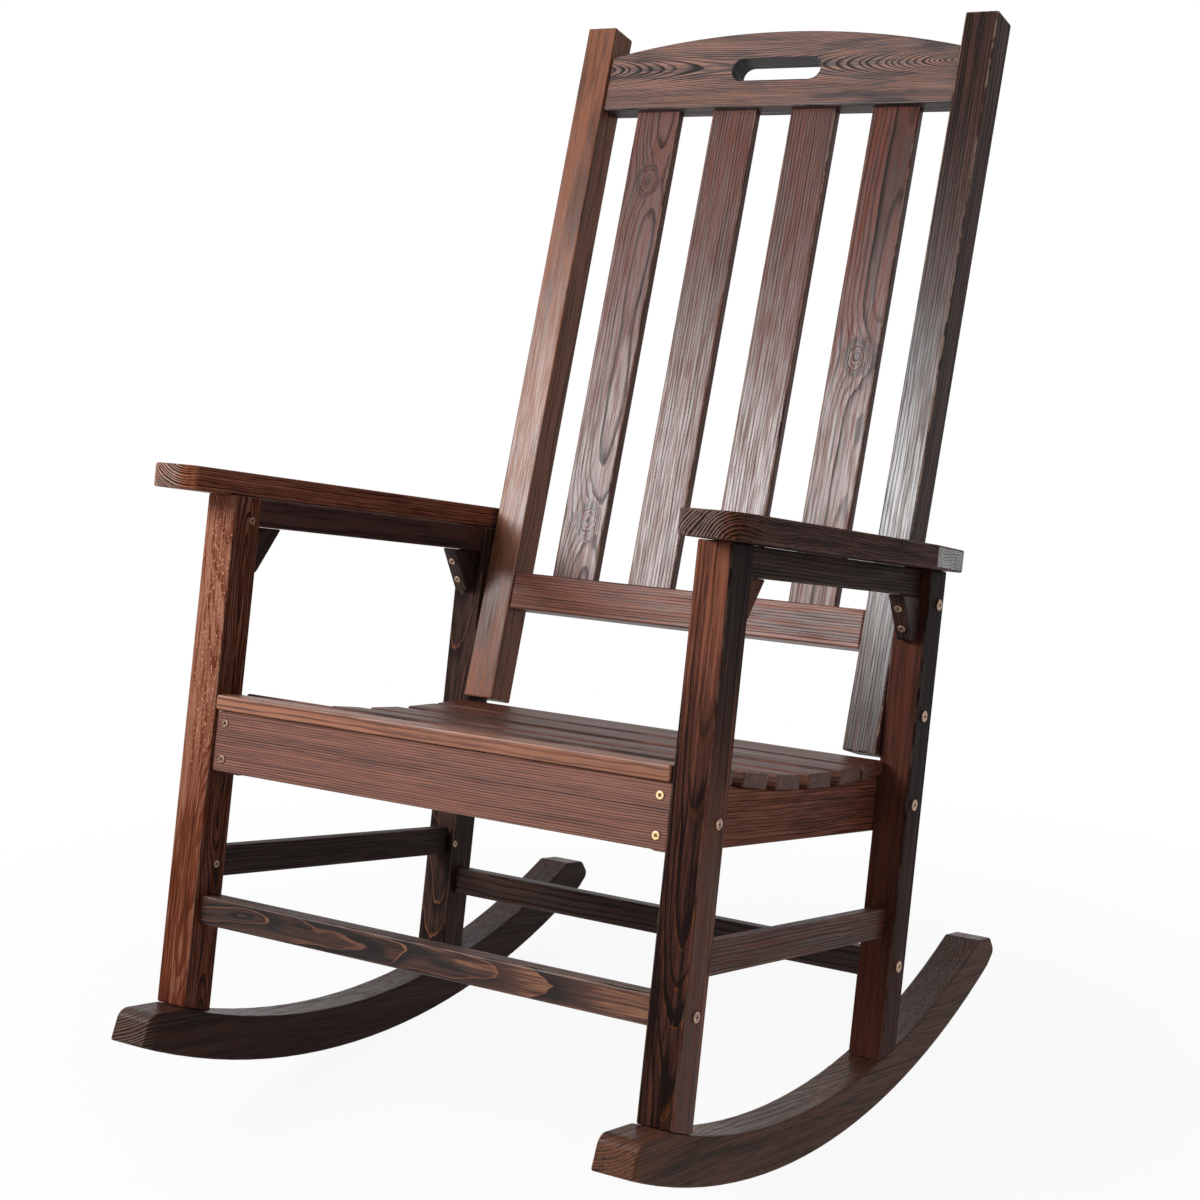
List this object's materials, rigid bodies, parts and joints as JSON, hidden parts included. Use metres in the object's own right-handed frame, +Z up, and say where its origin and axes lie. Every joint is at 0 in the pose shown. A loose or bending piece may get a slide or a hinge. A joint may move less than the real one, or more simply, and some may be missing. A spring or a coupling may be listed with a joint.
{
  "type": "rocking chair",
  "caption": "Slatted wooden porch rocking chair with a tall leaning back, arched crest rail with a hand slot, flat arms, a scooped slat seat and curved rockers bolted together",
  "frame": {"origin": "on the floor, in the middle of the chair's width and depth", "axes": "+Z up; the chair faces -Y; +X is the sitter's left; it stands as it rests on its rockers, leant back"},
  "size_m": [0.676, 0.8795, 1.1419],
  "materials": {
    "frame_wood": "satin lacquer on carbonised, brushed fir",
    "seat_wood": "satin lacquer on carbonised, brushed fir",
    "back_wood": "satin lacquer on carbonised, brushed fir",
    "dark_wood": "satin lacquer on deeply carbonised fir",
    "rocker_wood": "satin lacquer on deeply carbonised fir",
    "brass": "yellow-passivated, satin"
  },
  "bodies": {
    "root": {"rocker_left": "rocker_wood", "rocker_right": "rocker_wood", "front_leg_left": "frame_wood", "front_leg_right": "frame_wood", "rear_leg_left": "frame_wood", "rear_leg_right": "frame_wood", "back_post_left": "back_wood", "back_post_right": "back_wood", "crest_rail": "frame_wood", "lower_back_rail": "frame_wood", "back_slat_1": "back_wood", "back_slat_2": "back_wood", "back_slat_3": "back_wood", "back_slat_4": "back_wood", "apron": "seat_wood", "side_seat_rail_left": "dark_wood", "side_seat_rail_right": "dark_wood", "rear_seat_rail": "dark_wood", "seat_slat_front": "seat_wood", "seat_slat_1": "seat_wood", "seat_slat_2": "seat_wood", "seat_slat_3": "seat_wood", "seat_slat_4": "seat_wood", "seat_slat_5": "seat_wood", "seat_slat_rear": "seat_wood", "front_stretcher": "frame_wood", "rear_stretcher": "frame_wood", "side_stretcher_left": "dark_wood", "side_stretcher_right": "dark_wood", "arm_left": "frame_wood", "arm_right": "frame_wood", "arm_rail_left": "dark_wood", "arm_rail_right": "dark_wood", "front_brace_left": "dark_wood", "front_brace_right": "dark_wood", "rear_brace_left": "dark_wood", "rear_brace_right": "dark_wood", "front_seat_bolt_left": "brass", "front_seat_bolt_right": "brass", "front_stretcher_bolt_left": "brass", "front_stretcher_bolt_right": "brass", "upper_post_bolt_left": "brass", "upper_post_bolt_right": "brass", "lower_post_bolt_left": "brass", "lower_post_bolt_right": "brass", "rear_seat_bolt_left": "brass", "rear_seat_bolt_right": "brass", "rear_stretcher_bolt_left": "brass", "rear_stretcher_bolt_right": "brass", "apron_screw_lower_left": "brass", "apron_screw_lower_right": "brass", "apron_screw_upper_left": "brass", "apron_screw_upper_right": "brass", "brace_screw_lower_left": "brass", "brace_screw_lower_right": "brass", "brace_screw_upper_left": "brass", "brace_screw_upper_right": "brass"}
  },
  "joints": []
}
